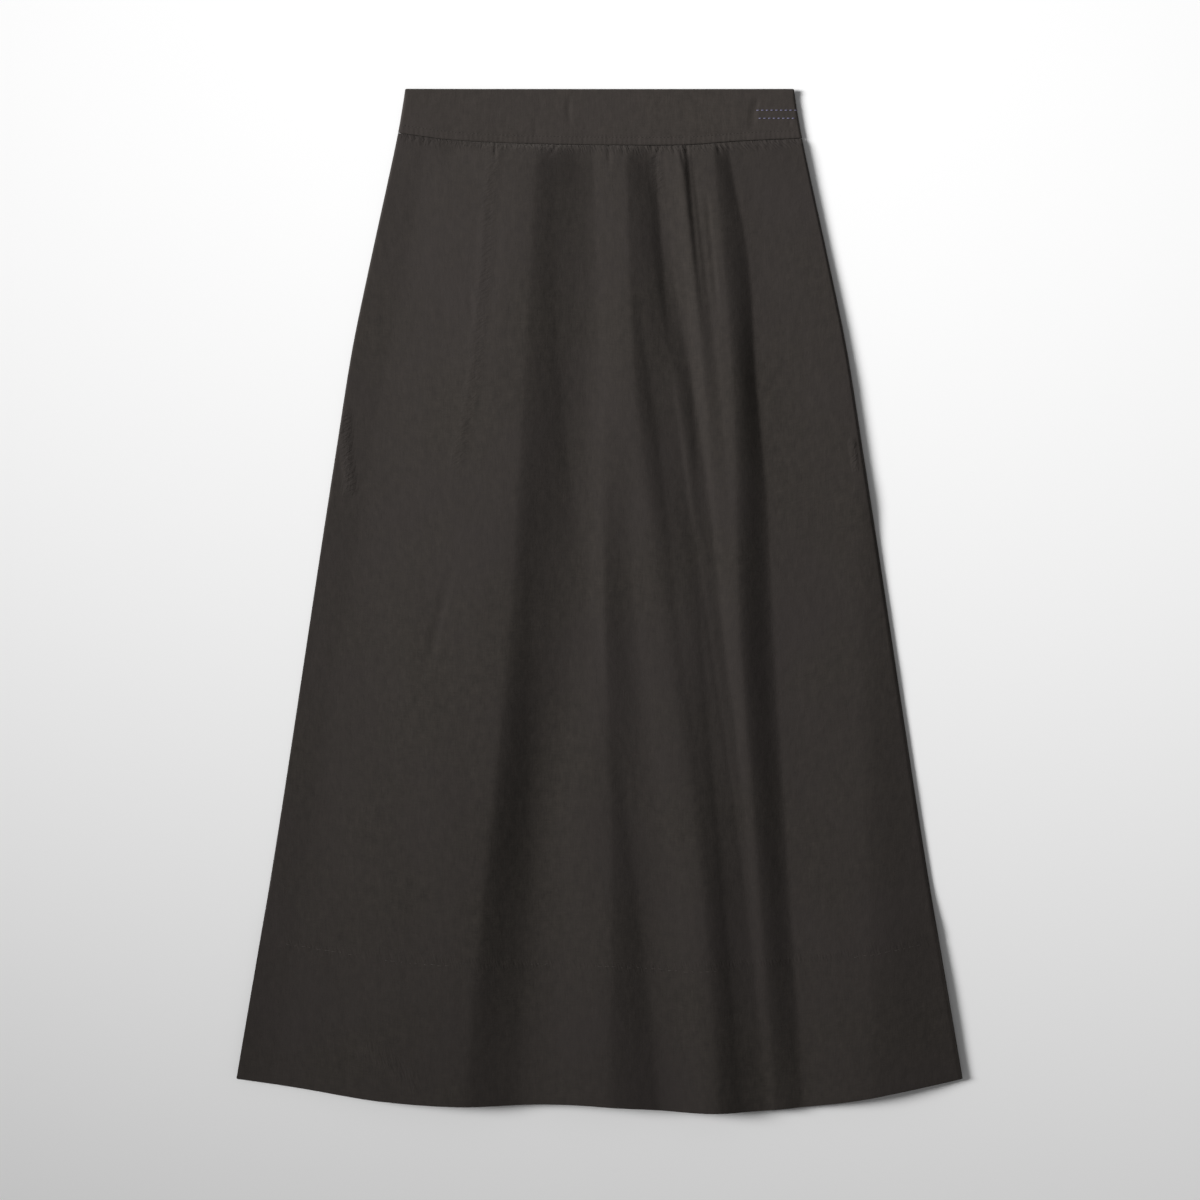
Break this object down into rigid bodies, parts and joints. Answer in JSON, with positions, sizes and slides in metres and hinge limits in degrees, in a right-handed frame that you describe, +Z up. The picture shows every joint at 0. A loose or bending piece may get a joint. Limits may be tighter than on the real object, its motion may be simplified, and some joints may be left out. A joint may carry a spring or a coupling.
{
  "type": "gathered skirt",
  "caption": "Gathered A-line midi skirt laid flat on its back, with a straight waistband, soft folds down the front, side pockets and a deep turned-up hem.",
  "frame": {"origin": "on the surface the skirt lies on, under the middle of its outline", "axes": "+Y up the skirt towards its waist, +Z up out of its front, +X to the right as it is seen from the front"},
  "size_m": [0.6308, 0.8881, 0.0225],
  "materials": {
    "skirt_cloth": "matte plain-weave cotton",
    "pocket_cloth": "matte plain-weave cotton"
  },
  "bodies": {
    "root": {"front_panel": "skirt_cloth", "back_panel": "skirt_cloth", "front_waistband": "skirt_cloth", "back_waistband": "skirt_cloth", "left_pocket_bag": "pocket_cloth", "right_pocket_bag": "pocket_cloth"}
  },
  "joints": []
}
